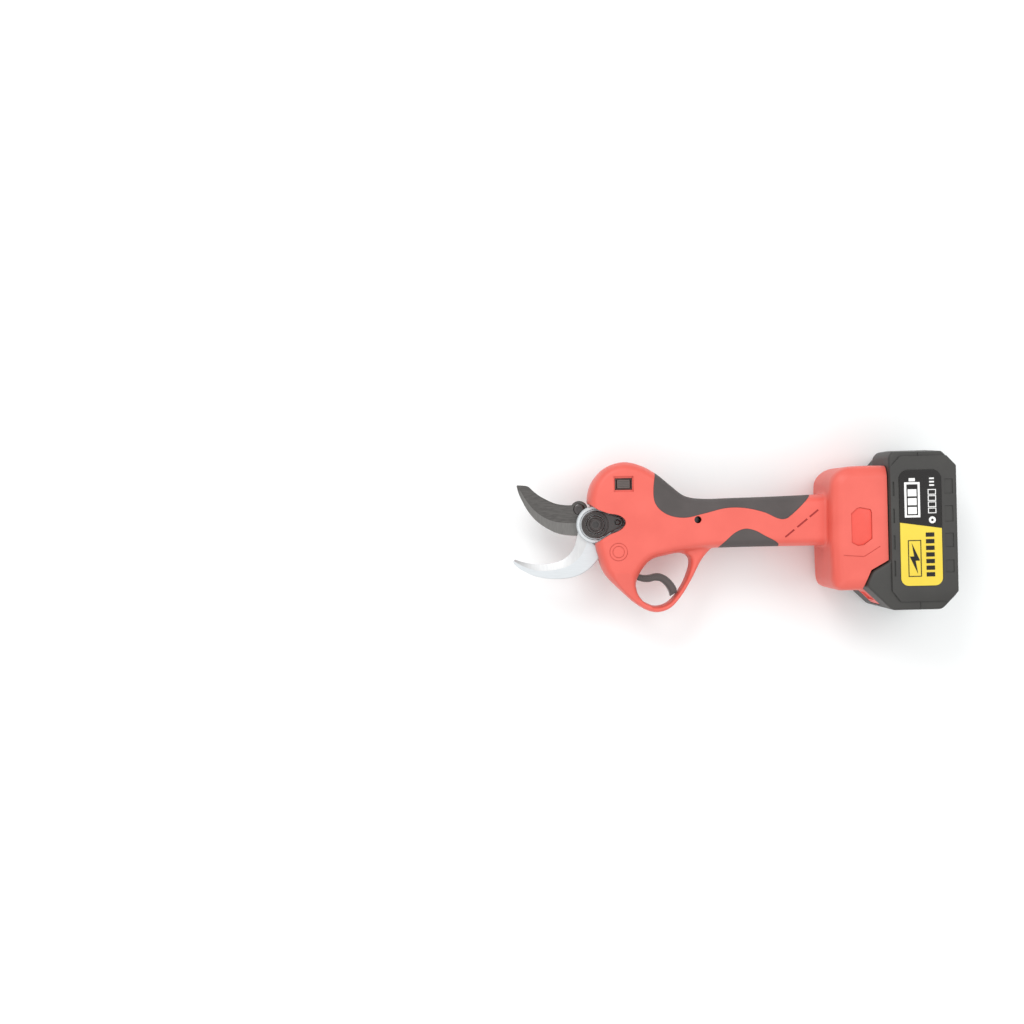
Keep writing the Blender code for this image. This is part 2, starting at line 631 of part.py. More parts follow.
# ---------------------------------------------------------------- battery
CASE_OUTLINE = (
    (93.2, -40.0), (111, -57.3), (146.5, -57.3), (149, -55), (158, -46), (158, 46), (149, 54.8),
    (146.5, 57.3), (114, 56.8), (110.2, 52.5), (110.2, -22.3), (97.8, -29.2), (94.6, -35.6))
PLATE_OUTLINE = (
    (110.6, -43.5), (116.5, -51.2), (151, -51.2), (157.8, -44.5), (157.8, 45), (151, 52.3),
    (118, 52.3), (110.6, 44))
SPLIT_X = 131.0           # where the two battery cases meet
CASE_HALF = 35.7
CASE_WALL = 2.2
CELL_RADIUS = 9.1
CELL_ROWS = (122.4, 141.8)
CELL_PITCH = 19.4
GAUGE_BUTTON = (140.0, 6.5)
BUTTON = (101.9, -48.7, MID)          # middle of the slanted foot's outer face
BUTTON_ANGLE = 135.8                  # turns +Y to the foot's outward normal
LABEL_OUTLINE = (
    (117, -35), (122, -40), (141.5, -40), (146.5, -35), (146.5, 37), (141.5, 42), (122, 42),
    (117, 37))


def battery_case(name, x_low, x_high):
    """Part of the hollow battery case between two X planes."""
    case = slab(name, "battery_plastic", CASE_OUTLINE, MID - CASE_HALF, MID + CASE_HALF, 1.5, 1, True)
    inside, depth = inset(CASE_OUTLINE, CASE_WALL), CASE_HALF - CASE_WALL
    cut(case, slab(name + "_hollow", None, inside, MID - depth, MID + depth))
    keep = brick(name + "_span", None, (x_low, -70, -5), (x_high, 70, 81))
    return combine(case, "INTERSECT", keep)


def upper_case():
    """Rail side of the battery, with the T-shaped rail block and the latch foot."""
    case = battery_case("battery_upper_case", 60, SPLIT_X - 0.15)
    fuse(case, brick("rail_neck", None, (105.6, -30, MID - 18.4), (111.4, 42.4, MID + 18.4)),
         brick("rail_head", None, (102.2, -36, MID - 22.4), (106.0, 42.4, MID + 22.4)))
    for number, z in enumerate((MID - 10, MID, MID + 10)):
        cut(case, brick(f"terminal_slot_{number}", None, (100, 2, z - 1), (107, 44, z + 1)))
    pocket = brick("button_pocket", None, (-9.2, -6.8, -12.3), (9.2, 6, 12.3))
    return cut(case, slanted(pocket, BUTTON, BUTTON_ANGLE))


def release_button():
    """Red press button in the slanted foot, with a finger groove across it."""
    button = brick("release_button", "red_plastic", (-8.8, -3.2, -11.9), (8.8, -0.2, 11.9), 0.6)
    groove = brick("button_groove", None, (-3.5, -1.4, -8.5), (3.5, 3, 8.5))
    return cut(slanted(button, BUTTON, BUTTON_ANGLE), slanted(groove, BUTTON, BUTTON_ANGLE))


def side_plate(name, side):
    outer = BATTERY_HALF - 0.6 if side > 0 else BATTERY_HALF
    plate = half_slab(name, "battery_plastic", PLATE_OUTLINE, CASE_HALF + GAP, outer, side, 0.6)
    return gauge_bored(plate) if side > 0 else plate


def gauge_bored(piece):
    return cut(piece, rod(piece.name + "_bore", None, GAUGE_BUTTON, 2.9, 70, 80, sides=16))


def battery_label():
    label = half_slab("battery_label", "label", LABEL_OUTLINE, BATTERY_HALF - 0.35, BATTERY_HALF, 1)
    return gauge_bored(label)


def build_battery():
    pieces = [upper_case(), gauge_bored(battery_case("battery_lower_case", SPLIT_X + 0.15, 170))]
    pieces += [side_plate("battery_plate_right", 1), side_plate("battery_plate_left", -1), battery_label()]
    button = release_button()
    gauge = rod("gauge_button", "white_plastic", GAUGE_BUTTON, 2.5, 74.2, 75.9, sides=16)
    for row, x in enumerate(CELL_ROWS):
        for column in range(5):
            y = (column - 2) * CELL_PITCH
            name = f"cell_{row * 5 + column + 1}"
            pieces.append(rod(name, "cell_wrap", (x, y), CELL_RADIUS, MID - 32.5, MID + 32.5, sides=16))
    pack = hinge_at("battery_rail", (110, 0, MID))
    carry(pack, *pieces, button, gauge)


def main():
    clear_scene()
    build_casing()
    for number in range(len(CASE_SCREWS)):
        case_screw(number)
    build_head()
    build_drive()
    build_controls()
    build_battery()


PARTS = collection("battery_pruner")
CUTTERS = collection("cutters")
main()
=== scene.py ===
import json
import math

import bmesh
import bpy
from mathutils import Matrix, Vector

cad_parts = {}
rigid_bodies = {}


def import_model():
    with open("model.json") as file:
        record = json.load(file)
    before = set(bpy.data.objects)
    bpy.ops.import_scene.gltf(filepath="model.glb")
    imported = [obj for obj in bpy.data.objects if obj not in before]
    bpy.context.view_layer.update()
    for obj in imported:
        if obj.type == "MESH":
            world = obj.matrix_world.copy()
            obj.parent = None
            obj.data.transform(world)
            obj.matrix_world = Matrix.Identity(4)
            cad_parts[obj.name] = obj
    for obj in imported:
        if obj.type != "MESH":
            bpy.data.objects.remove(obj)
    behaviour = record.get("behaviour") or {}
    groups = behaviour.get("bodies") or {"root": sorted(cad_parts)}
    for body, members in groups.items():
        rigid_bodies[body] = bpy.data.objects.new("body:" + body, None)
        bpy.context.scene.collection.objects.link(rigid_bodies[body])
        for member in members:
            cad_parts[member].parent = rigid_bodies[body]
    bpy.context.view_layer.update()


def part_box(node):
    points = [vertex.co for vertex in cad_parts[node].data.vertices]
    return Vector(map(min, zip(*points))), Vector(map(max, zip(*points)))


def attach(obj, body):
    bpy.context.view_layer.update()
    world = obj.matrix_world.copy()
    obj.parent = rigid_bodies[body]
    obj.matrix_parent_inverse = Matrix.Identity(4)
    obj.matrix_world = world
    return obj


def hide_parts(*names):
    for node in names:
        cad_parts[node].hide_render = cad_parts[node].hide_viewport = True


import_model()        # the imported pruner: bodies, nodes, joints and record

MM = 0.001

# ---------------------------------------------------------------- sizes, in millimetres
def node_span(node, axis):
    """Lowest and highest coordinate of a CAD node along an axis."""
    low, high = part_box(node)
    return low[axis] / MM, high[axis] / MM


def node_middle(node):
    low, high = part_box(node)
    return [(a + b) / 2 / MM for a, b in zip(low, high)]


BODY_TOP = node_span("housing_right", 2)[1]
MID = node_span("fixed_blade", 2)[0] - 0.15        # parting plane of the casing
HOLDER_HALF = BODY_TOP - MID
BODY_HALF = 19.5
GUARD_HALF = 10.8
PIVOT = node_middle("blade_bolt")[:2]
LOCK_SCREW = node_middle("lock_screw")[:2]
STUD = node_middle("blade_stud")[:2]
SWITCH = node_middle("switch_body")[:2]
GAUGE = node_middle("gauge_button")[:2]
TRIGGER_PIVOT = node_middle("trigger_pin")[:2]
CASE_SCREW = node_middle("case_screw_1")[:2]
BATTERY_TOP = node_span("battery_label", 2)[1]
VOXEL = 0.75                # detail of the moulded shells

# Outlines run anticlockwise.  A third value of 1 marks a sharp corner.
BODY_OUTLINE = (
    (-97.8, -6.5, 1), (-96.3, -13), (-91, -28), (-80, -40.3), (-72, -47.6, 1), (-67.4, -45.2, 1),
    (-69, -38), (-66.3, -29), (-58, -18.9), (-46, -15.2), (-30, -12.6), (-14, -10.8), (77, -10.8, 1),
    (77, 27.1, 1), (40, 26), (0, 25.4), (-20, 25.4), (-32, 27.8), (-42, 35.5), (-52, 44),
    (-64, 50.8), (-77, 53.4), (-90, 49), (-99, 39), (-102.2, 29), (-102.4, 22), (-100.6, 8))
BRIDGE_OUTLINE = (
    (-84, -34), (-79.4, -40.6), (-73, -46.8), (-66, -52), (-58.6, -55.4), (-56.4, -53.1), (-63, -49.1),
    (-67.4, -43), (-69, -37), (-74, -32))
MOUTH_OUTLINE = (
    (-112, 24, 1), (-101.8, 23.6, 1), (-96.4, 19.6), (-88.6, 16.4), (-79.6, 14.2), (-75.8, 9.6), (-79, 4.4),
    (-88, 0.4), (-97.6, -5.6, 1), (-112, -5.6, 1))
GUARD_OUTLINE = (
    (-84, -35, 1), (-80, -40.2, 1), (-68, -51.2), (-56, -56.9), (-45, -55.0), (-36.5, -47),
    (-28, -34), (-20, -19.2), (-13, -11, 1), (-13, -3, 1), (-62, -3, 1))
FINGER_OPENING = (
    (-58, -19), (-66.3, -29), (-69, -38), (-64, -48.3), (-55, -52.8), (-45, -50.4), (-36, -40.5),
    (-30, -28.5), (-28.6, -18.2), (-35, -14.1), (-46, -15.4))
HOLDER_OUTLINE = (
    (70, -35), (71.7, -40.6, 1), (76, -43, 1), (122, -43, 1), (122, 46, 1), (84, 46), (76.2, 43),
    (71.2, 37.4), (70, 31))
HOLDER_ROOM = (
    (75.5, -31), (76.5, -36, 1), (79, -38, 1), (88, -38, 1), (93, -26, 1), (102, -20, 1), (105.5, -18, 1),
    (105.5, 41, 1), (85, 41), (79, 38), (75.5, 31))
HOLDER_END = (
    (91, -70), (91, -43), (94, -35), (97, -28.4), (109.5, -21.5), (109.5, 70), (140, 70), (140, -70))
UPPER_GRIP = (
    (-53.2, 47, 1), (-55.4, 34), (-54.2, 22.4), (-46.2, 14.6), (-33.5, 11.8), (-18.8, 14.6), (-3.1, 18.1),
    (10.6, 17.8), (24.4, 14.4), (35.6, 9.4), (41.8, 10.4), (61.3, 28.6, 1), (61.3, 60, 1), (-53.2, 60, 1))
LOWER_GRIP = (
    (-10.6, -13.7, 1), (35.6, -13.7, 1), (34.4, -8.3), (25.0, -2.7), (17.2, 1.6), (10, 2.9), (3, 0.3),
    (-3, -4.7), (-8, -9.6))
HEX_PANEL = (
    (83.6, -8.6), (88, -11), (92.2, -10.4), (98.3, -6), (98.3, 12.8), (97.4, 15), (90, 16.6), (87.8, 16),
    (83.6, 12.2))


# ---------------------------------------------------------------- mesh tools
def curved(points, steps=8):
    """Closed outline through (x, y) points: smooth except at points marked 1."""
    count = len(points)
    result = []
    for i in range(count):
        p0, p1, p2, p3 = (points[(i + k) % count] for k in (-1, 0, 1, 2))
        sharp1, sharp2 = len(p1) > 2, len(p2) > 2
        result.append((p1[0], p1[1]))
        if sharp1 and sharp2:
            continue
        a, b, c, d = (Vector(p[:2]) for p in (p0, p1, p2, p3))
        span = (c - b).length
        out = (c - b) if sharp1 else (c - a).normalized() * span
        into = (c - b) if sharp2 else (d - b).normalized() * span
        for k in range(1, steps):
            t = k / steps
            spot = (b * (2 * t**3 - 3 * t**2 + 1) + out * (t**3 - 2 * t**2 + t)
                    + c * (3 * t**2 - 2 * t**3) + into * (t**3 - t**2))
            result.append((spot.x, spot.y))
    return result


def inset(points, amount):
    """Outline moved inwards by amount, with mitred corners."""
    count = len(points)
    result = []
    for i in range(count):
        before, here, after = (Vector(points[(i + k) % count][:2]) for k in (-1, 0, 1))
        e1, e2 = (here - before).normalized(), (after - here).normalized()
        n1, n2 = Vector((-e1.y, e1.x)), Vector((-e2.y, e2.x))
        spread = (n1 + n2).normalized()
        spot = here + spread * (amount / max(spread.dot(n1), 0.5))
        result.append((spot.x, spot.y))
    return result


def off_line(spot, a, b):
    """Distance from a point to the segment between a and b."""
    along_line = b - a
    share = max(0.0, min(1.0, (spot - a).dot(along_line) / max(along_line.length_squared, 1e-9)))
    return (spot - a - along_line * share).length


WELD = 0.002 * MM      # corners closer than this are one corner
FOLD_SLACK = 0.03      # how much nearer to its outline an inset point may lie before it counts as folded


def shrunk(points, amount):
    """Inset outline without the loops that narrow places would fold into."""
    if amount < 0.05:
        return points
    corners = [Vector(p[:2]) for p in points]
    sides = list(zip(corners, corners[1:] + corners[:1]))
    return [p for p in inset(points, amount)
            if min(off_line(Vector(p), a, b) for a, b in sides) > amount - FOLD_SLACK]


def arc(centre, radius, start, end, count):
    """Points on an arc between two angles in degrees."""
    return [(centre[0] + radius * math.cos(math.radians(start + (end - start) * k / count)),
             centre[1] + radius * math.sin(math.radians(start + (end - start) * k / count)))
            for k in range(count + 1)]


def fresh(name, form):
    """New object from a bmesh whose coordinates are millimetres."""
    bmesh.ops.scale(form, vec=(MM, MM, MM), verts=form.verts)
    mesh = bpy.data.meshes.new(name)
    form.to_mesh(mesh)
    form.free()
    item = bpy.data.objects.new(name, mesh)
    bpy.context.scene.collection.objects.link(item)
    return item


def prism(name, points, low, high):
    """Closed flat outline extruded from low to high."""
    form = bmesh.new()
    base = form.faces.new([form.verts.new((x, y, low)) for x, y in points])
    grown = bmesh.ops.extrude_face_region(form, geom=[base])["geom"]
    top = [v for v in grown if isinstance(v, bmesh.types.BMVert)]
    bmesh.ops.translate(form, vec=(0, 0, high - low), verts=top)
    bmesh.ops.recalc_face_normals(form, faces=form.faces)
    bmesh.ops.triangulate(form, faces=[f for f in form.faces if len(f.verts) > 4])
    return fresh(name, form)


def block(name, low, high):
    """Box between two corners."""
    form = bmesh.new()
    bmesh.ops.create_cube(form, size=1)
    bmesh.ops.scale(form, vec=[b - a for a, b in zip(low, high)], verts=form.verts)
    bmesh.ops.translate(form, vec=[(a + b) / 2 for a, b in zip(low, high)], verts=form.verts)
    return fresh(name, form)


def turned(name, centre, profile, steps=96):
    """Closed solid of revolution from (radius, height) points that run down its outer side."""
    form = bmesh.new()
    verts = [form.verts.new((r, 0, h)) for r, h in profile]
    edges = [form.edges.new(pair) for pair in zip(verts, verts[1:])]
    if profile[0][0] > 0:
        edges.append(form.edges.new((verts[-1], verts[0])))
    bmesh.ops.spin(form, geom=verts + edges, cent=(0, 0, 0), axis=(0, 0, 1), angle=2 * math.pi,
                   steps=steps, use_merge=True)
    bmesh.ops.remove_doubles(form, verts=form.verts, dist=1e-4)
    bmesh.ops.recalc_face_normals(form, faces=form.faces)
    bmesh.ops.translate(form, vec=centre, verts=form.verts)
    return fresh(name, form)


def applied(item):
    """Bake an object's modifiers into its mesh."""
    graph = bpy.context.evaluated_depsgraph_get()
    mesh = bpy.data.meshes.new_from_object(item.evaluated_get(graph))
    item.modifiers.clear()
    item.data = mesh
    return item


def boolean(item, operation, *tools):
    """Apply a Boolean with each tool in turn and remove the tools."""
    for tool in tools:
        step = item.modifiers.new("cut", "BOOLEAN")
        step.operation = operation
        step.object = tool
        step.solver = "MANIFOLD"
        applied(item)
        bpy.data.objects.remove(tool)
    return item


def bevelled(item, width, segments=3, angle=30):
    """Round the edges that turn by more than an angle."""
    soft = item.modifiers.new("edges", "BEVEL")
    soft.width = width * MM
    soft.segments = segments
    soft.limit_method = "ANGLE"
    soft.angle_limit = math.radians(angle)
    return applied(item)


def triangulated(item):
    """Plain triangles, without the flat face pairs that a Boolean's many-sided faces can hide."""
    old = item.data
    welded = bmesh.new()
    welded.from_mesh(old)
    bmesh.ops.remove_doubles(welded, verts=welded.verts, dist=WELD)
    welded.to_mesh(old)
    welded.free()
    old.calc_loop_triangles()
    groups = {}
    for triangle in old.loop_triangles:
        groups.setdefault(frozenset(triangle.vertices), []).append(triangle)
    kept = [group[0] for group in groups.values() if len(group) % 2 == 1]
    made = bpy.data.meshes.new(old.name)
    made.from_pydata([corner.co for corner in old.vertices], [], [tuple(t.vertices) for t in kept])
    made.polygons.foreach_set("material_index", [t.material_index for t in kept])
    for look in old.materials:
        made.materials.append(look)
    item.data = made


def shaded(item, angle=35):
    """Smooth shading, broken at edges that turn by more than an angle."""
    triangulated(item)
    item.data.shade_smooth()
    item.data.set_sharp_from_angle(angle=math.radians(angle))
    return item


def joined(name, items):
    """One object that holds the meshes of several."""
    form = bmesh.new()
    for item in items:
        item.data.transform(item.matrix_world)
        form.from_mesh(item.data)
        bpy.data.objects.remove(item)
    mesh = bpy.data.meshes.new(name)
    form.to_mesh(mesh)
    form.free()
    whole = bpy.data.objects.new(name, mesh)
    bpy.context.scene.collection.objects.link(whole)
    return whole


def moulded(item, voxel, rounds):
    """Melt overlapping solids into one and round every edge a little."""
    melt = item.modifiers.new("melt", "REMESH")
    melt.mode = "VOXEL"
    melt.voxel_size = voxel * MM
    soft = item.modifiers.new("soft", "SMOOTH")
    soft.factor = 0.5
    soft.iterations = rounds
    return applied(item)


# ---------------------------------------------------------------- materials
def linear(*channels):
    """sRGB channels from 0 to 255 as a linear colour."""
    result = []
    for value in channels:
        share = value / 255
        result.append(share / 12.92 if share <= 0.04045 else ((share + 0.055) / 1.055) ** 2.4)
    return (*result, 1)


def node_material(name, colour, roughness, metallic=0.0, coat=0.0, specular=0.5):
    """Principled material with its plain values set, and its tree ready for more nodes."""
    made = bpy.data.materials.new(name)
    made.use_nodes = True
    shader = made.node_tree.nodes["Principled BSDF"]
    shader.inputs["Base Color"].default_value = colour
    shader.inputs["Roughness"].default_value = roughness
    shader.inputs["Metallic"].default_value = metallic
    shader.inputs["Coat Weight"].default_value = coat
    shader.inputs["Coat Roughness"].default_value = 0.15
    shader.inputs["Specular IOR Level"].default_value = specular
    return made, shader


def object_noise(tree, scale, detail=3.0, stretch=(1, 1, 1)):
    """Noise in object space, with its scale counted per metre."""
    place = tree.nodes.new("ShaderNodeTexCoord")
    mapping = tree.nodes.new("ShaderNodeMapping")
    mapping.inputs["Scale"].default_value = stretch
    noise = tree.nodes.new("ShaderNodeTexNoise")
    noise.inputs["Scale"].default_value = scale
    noise.inputs["Detail"].default_value = detail
    tree.links.new(place.outputs["Object"], mapping.inputs["Vector"])
    tree.links.new(mapping.outputs["Vector"], noise.inputs["Vector"])
    return noise


def vary_colour(made, shader, scale, first, second, detail=3.0, stretch=(1, 1, 1), low=0.35, high=0.65):
    """Blend the base colour between two tones by noise."""
    tree = made.node_tree
    noise = object_noise(tree, scale, detail, stretch)
    ramp = tree.nodes.new("ShaderNodeValToRGB")
    ramp.color_ramp.elements[0].position = low
    ramp.color_ramp.elements[1].position = high
    ramp.color_ramp.elements[0].color = first
    ramp.color_ramp.elements[1].color = second
    tree.links.new(noise.outputs["Fac"], ramp.inputs["Fac"])
    tree.links.new(ramp.outputs["Color"], shader.inputs["Base Color"])


def vary_roughness(made, shader, scale, low, high, stretch=(1, 1, 1)):
    tree = made.node_tree
    noise = object_noise(tree, scale, 4.0, stretch)
    span = tree.nodes.new("ShaderNodeMapRange")
    span.inputs["To Min"].default_value = low
    span.inputs["To Max"].default_value = high
    tree.links.new(noise.outputs["Fac"], span.inputs["Value"])
    tree.links.new(span.outputs["Result"], shader.inputs["Roughness"])


def add_bump(made, shader, scale, height, detail=2.0, stretch=(1, 1, 1)):
    """Fine surface grain; height is in metres."""
    tree = made.node_tree
    noise = object_noise(tree, scale, detail, stretch)
    bump = tree.nodes.new("ShaderNodeBump")
    bump.inputs["Strength"].default_value = 0.6
    bump.inputs["Distance"].default_value = height
    tree.links.new(noise.outputs["Fac"], bump.inputs["Height"])
    tree.links.new(bump.outputs["Normal"], shader.inputs["Normal"])


def moulded_plastic(name, light, dark, roughness, grain=0.00004, coat=0.0, specular=0.5):
    made, shader = node_material(name, light, roughness, coat=coat, specular=specular)
    vary_colour(made, shader, 35, dark, light)
    vary_roughness(made, shader, 900, roughness - 0.05, roughness + 0.07)
    add_bump(made, shader, 2600, grain)
    return made


def metal(name, light, dark, roughness, stretch=(1, 1, 1), grain=0.000015, metallic=1.0):
    made, shader = node_material(name, light, roughness, metallic=metallic)
    vary_colour(made, shader, 160, dark, light, stretch=stretch)
    vary_roughness(made, shader, 420, roughness * 0.8, roughness * 1.35, stretch)
    add_bump(made, shader, 1500, grain, stretch=stretch)
    return made


MATERIALS = {
    "red": moulded_plastic("red_shell", linear(229, 100, 87), linear(223, 94, 81), 0.44, 0.00003, 0.04),
    # dark red that paints the shade at the bottoms of the dash grooves on the handle
    "dash_groove_shade_red": moulded_plastic("red_painted_groove_shade", linear(176, 40, 36), linear(164, 34, 32), 0.48),
    "red_button": moulded_plastic("red_button", linear(232, 84, 70), linear(224, 76, 62),
                                  0.40, 0.00003, 0.08),
    "rubber": moulded_plastic("grip_rubber", linear(88, 82, 81), linear(80, 75, 74),
                              0.72, 0.00010, 0.0, 0.35),
    "black": moulded_plastic("black_gloss", linear(58, 51, 50), linear(50, 43, 42), 0.24, 0.00002, 0.45),
    "lever": moulded_plastic("trigger_black", linear(72, 60, 58), linear(62, 52, 50), 0.30, 0.00003, 0.4),
    "switch": moulded_plastic("switch_grey", linear(98, 88, 84), linear(86, 77, 74), 0.45, 0.00004),
    "case": moulded_plastic("battery_case", linear(58, 57, 54), linear(52, 51, 49), 0.50, 0.00008),
    "label_black": moulded_plastic("label_black", linear(24, 21, 20), linear(20, 17, 16),
                                   0.26, 0.00001, 0.0, 0.32),
    "label_yellow": moulded_plastic("label_yellow", linear(231, 206, 56), linear(227, 200, 50),
                                    0.30, 0.00001, 0.2),
    "label_white": moulded_plastic("label_white", linear(246, 246, 244), linear(238, 238, 236),
                                   0.30, 0.00001, 0.2),
    "blade_bright": metal("blade_bright", (0.63, 0.66, 0.68, 1), (0.60, 0.63, 0.65, 1), 0.33, (1, 8, 1),
                          metallic=0.6),
    "blade_honed": metal("blade_honed", (0.60, 0.605, 0.608, 1), (0.56, 0.565, 0.57, 1), 0.30, (8, 1, 1),
                         metallic=0.6),
    "blade_dark": metal("blade_dark", (0.122, 0.117, 0.112, 1), (0.093, 0.089, 0.086, 1), 0.42, (1, 6, 1)),
    "blade_ground": metal("blade_ground", (0.192, 0.187, 0.18, 1), (0.161, 0.158, 0.152, 1), 0.36, (8, 1, 1)),
    "steel": metal("machined_steel", (0.52, 0.52, 0.53, 1), (0.42, 0.42, 0.43, 1), 0.30),
    "bronze": metal("bronze", (0.60, 0.42, 0.20, 1), (0.48, 0.32, 0.15, 1), 0.34),
    "copper": metal("copper", (0.72, 0.36, 0.20, 1), (0.58, 0.27, 0.14, 1), 0.34),
    "board": moulded_plastic("circuit_board", (0.02, 0.16, 0.06, 1), (0.015, 0.12, 0.045, 1), 0.45),
    "cell": moulded_plastic("cell_wrap", (0.04, 0.20, 0.48, 1), (0.03, 0.16, 0.40, 1), 0.35),
}


def finish_piece(item, look, body, *nodes):
    """Give a finished piece its material and body, and hide the CAD nodes that it stands for."""
    item.data.materials.clear()
    item.data.materials.append(MATERIALS[look])
    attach(item, body)
    if nodes:
        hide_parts(*nodes)
    return item


# ---------------------------------------------------------------- casing
def rounding(straight, half, depth, count):
    """Half thicknesses and insets of the layers that round an edge over."""
    turns = [math.radians(90 * k / (count - 1)) for k in range(count)]
    return [(straight + (half - straight) * math.sin(turn), depth * (1 - math.cos(turn))) for turn in turns]


BODY_LAYERS = rounding(9.0, BODY_HALF, 6.6, 11)
GUARD_LAYERS = rounding(6.5, GUARD_HALF, 2.6, 6)
HOLDER_LAYERS = ((26.0, 0.0), (28.5, 0.5), (30.3, 1.4), (31.6, 3.0), (32.6, 5.0), (HOLDER_HALF, 7.2))
HOLLOW_HALF = 12.5                       # half height of the room inside the head
WALL = 3.2
CASE_SCREW_HOLES = (                     # x, y and side
    (*CASE_SCREW, 1), (*node_middle("case_screw_2")[:2], -1), (*node_middle("case_screw_3")[:2], -1))
EMBLEM = (-81.6, -11.9)


def along_x(name, points, low, high):
    """Prism along X from points in (y, z)."""
    solid = prism(name, points, low, high)
    solid.data.transform(Matrix(((0, 0, 1, 0), (1, 0, 0, 0), (0, 1, 0, 0), (0, 0, 0, 1))))
    return solid


def layered(name, outline, layers, hole=None):
    """Stack of flat solids, narrower towards both faces, that melts into a rounded one."""
    stack = []
    for half, drawn_in in layers:
        layer = prism(f"{name}_{half}", shrunk(outline, drawn_in), MID - half, MID + half)
        if hole:
            boolean(layer, "DIFFERENCE", prism("hole", inset(hole, -drawn_in), MID - 40, MID + 40))
        stack.append(layer)
    return stack


def solid_body():
    """Head, handle, guard and battery holder as one rounded solid."""
    parts = layered("body", curved(BODY_OUTLINE), BODY_LAYERS)
    parts += layered("guard", curved(GUARD_OUTLINE), GUARD_LAYERS, curved(FINGER_OPENING))
    parts += layered("bridge", curved(BRIDGE_OUTLINE), rounding(8.0, 17.0, 4.4, 9))
    parts += layered("holder", curved(HOLDER_OUTLINE, 5), HOLDER_LAYERS)
    whole = moulded(joined("body", parts), VOXEL, 8)
    for side in (1, -1):
        taper = ((-26, 20.0), (-46, 13.0), (-60, 9.6), (-70, 9.6), (-70, 40), (-26, 40))
        boolean(whole, "DIFFERENCE", along_x("taper", [(y, MID + side * z) for y, z in taper], -100, -40))
    moulded(whole, VOXEL, 8)
    room = prism("room", inset(curved(BODY_OUTLINE, 3), WALL), MID - HOLLOW_HALF, MID + HOLLOW_HALF)
    deep = block("handle_room", (-58, -4.5, MID - 16.2), (74, 19.5, MID + 16.2))
    box = prism("box_room", inset(curved(HOLDER_ROOM, 3), 0), MID - HOLDER_HALF + 4, MID + HOLDER_HALF - 4)
    return boolean(whole, "DIFFERENCE", prism("end", HOLDER_END, -20, 100),
                   prism("mouth", curved(MOUTH_OUTLINE), -20, 100), room, deep, box)


def mouth_tools():
    """Room for the blades, the gear sector, the pinion, the trigger and the battery rails."""
    x, y = PIVOT
    return [
        turned("ring_room", (x, y, 0), ((0, 45.1), (14.5, 45.1), (14.5, 23.3), (0, 23.3)), steps=48),
        block("tang_room", (-112, -21.2, 37.6), (-84, -2, 42)),
        block("sector_room", (-93.5, -15, 23.3), (-66, 31, 38.5)),
        block("trigger_slot", (-72.8, -35.8, MID - 5.8), (-61.5, -24.6, MID + 5.8)),
        block("channel_wide", (101, -60, MID - 23), (106, 43, MID + 23)),
        block("channel_neck", (105, -60, MID - 19), (112, 43, MID + 19))]


def dashes(half_width):
    """Ends and half width of three dashes on a slanted line over the rear of the handle."""
    start, end = Vector((38.6, -4.2)), Vector((63.8, 15.8))
    across = (end - start).orthogonal().normalized() * half_width
    shares = ((0.02, 0.28), (0.37, 0.66), (0.73, 0.98))
    return [(start.lerp(end, a), start.lerp(end, b), across) for a, b in shares]


def dash_shade_and_hex_panels():
    """Dark red pieces at the bottoms of the dash grooves, which paint the shade there, and the hexagonal
    panels.
    """
    face = MID + BODY_HALF
    items = [prism("dash", [tuple(p) for p in (a + c, b + c, b - c, a - c)], face - 2.0, face - 0.7)
             for a, b, c in dashes(0.6)]
    # the dark red dash bottoms are painted shade in the grooves, not a separately coloured part
    finish_piece(joined("handle_dash_shade", items), "dash_groove_shade_red", "tool")
    for word, side in (("right", 1), ("left", -1)):
        low, high = sorted((MID + side * (HOLDER_HALF - 2.5), MID + side * (HOLDER_HALF - 0.8)))
        panel = bevelled(prism("holder_panel_" + word, inset(HEX_PANEL, 0.25), low, high), 0.3, 2)
        finish_piece(shaded(panel), "red_button", "tool")


def face_tools():
    """Recesses in the outer faces: switch, screws, round mark and hexagonal panel."""
    x, y = SWITCH
    face = MID + BODY_HALF
    tools = [block("switch_recess", (x - 7.2, y - 5.7, face - 1.9), (x + 7.2, y + 5.7, face + 5)),
             block("switch_hole", (x - 6.3, y - 4.3, 50), (x + 6.3, y + 4.3, face + 5))]
    for x, y, side in CASE_SCREW_HOLES:
        low, high = sorted((MID + side * 12, MID + side * 30))
        hole = ((0, high), (2.6, high), (2.6, low), (0, low))
        tools.append(turned("screw_hole", (x, y, 0), hole, steps=32))
    for radius in (6.6, 4.4):
        inner = radius - 0.5
        groove = ((radius, face + 2), (radius, face - 0.8), (inner, face - 0.8), (inner, face + 2))
        tools.append(turned("mark", (*EMBLEM, 0), groove, steps=64))
    for a, b, across in dashes(0.65):
        tools.append(prism("dash", [tuple(p) for p in (a + across, b + across, b - across, a - across)],
                           face - 1.3, face + 3))
    crease = ((77.5, -17.8), (92.1, -18.9), (103.9, -11.7), (103.6, -11.2), (91.9, -18.3), (77.5, -17.2))
    for side in (1, -1):
        low, high = sorted((MID + side * (HOLDER_HALF - 1.4), MID + side * (HOLDER_HALF + 3)))
        tools.append(prism("hex", HEX_PANEL, low, high))
        low, high = sorted((MID + side * (HOLDER_HALF - 0.7), MID + side * (HOLDER_HALF + 3)))
        tools.append(prism("crease", crease, low, high))
    return tools


def copy_of(item, name):
    """Second object with its own mesh."""
    twin = bpy.data.objects.new(name, item.data.copy())
    bpy.context.scene.collection.objects.link(twin)
    return twin


def half(item, name, side):
    """The part of a shell on one side of the parting plane."""
    low, high = sorted((MID + side * 0.06, MID + side * 60))
    return shaded(boolean(copy_of(item, name), "INTERSECT", block("half", (-130, -80, low), (130, 80, high))))


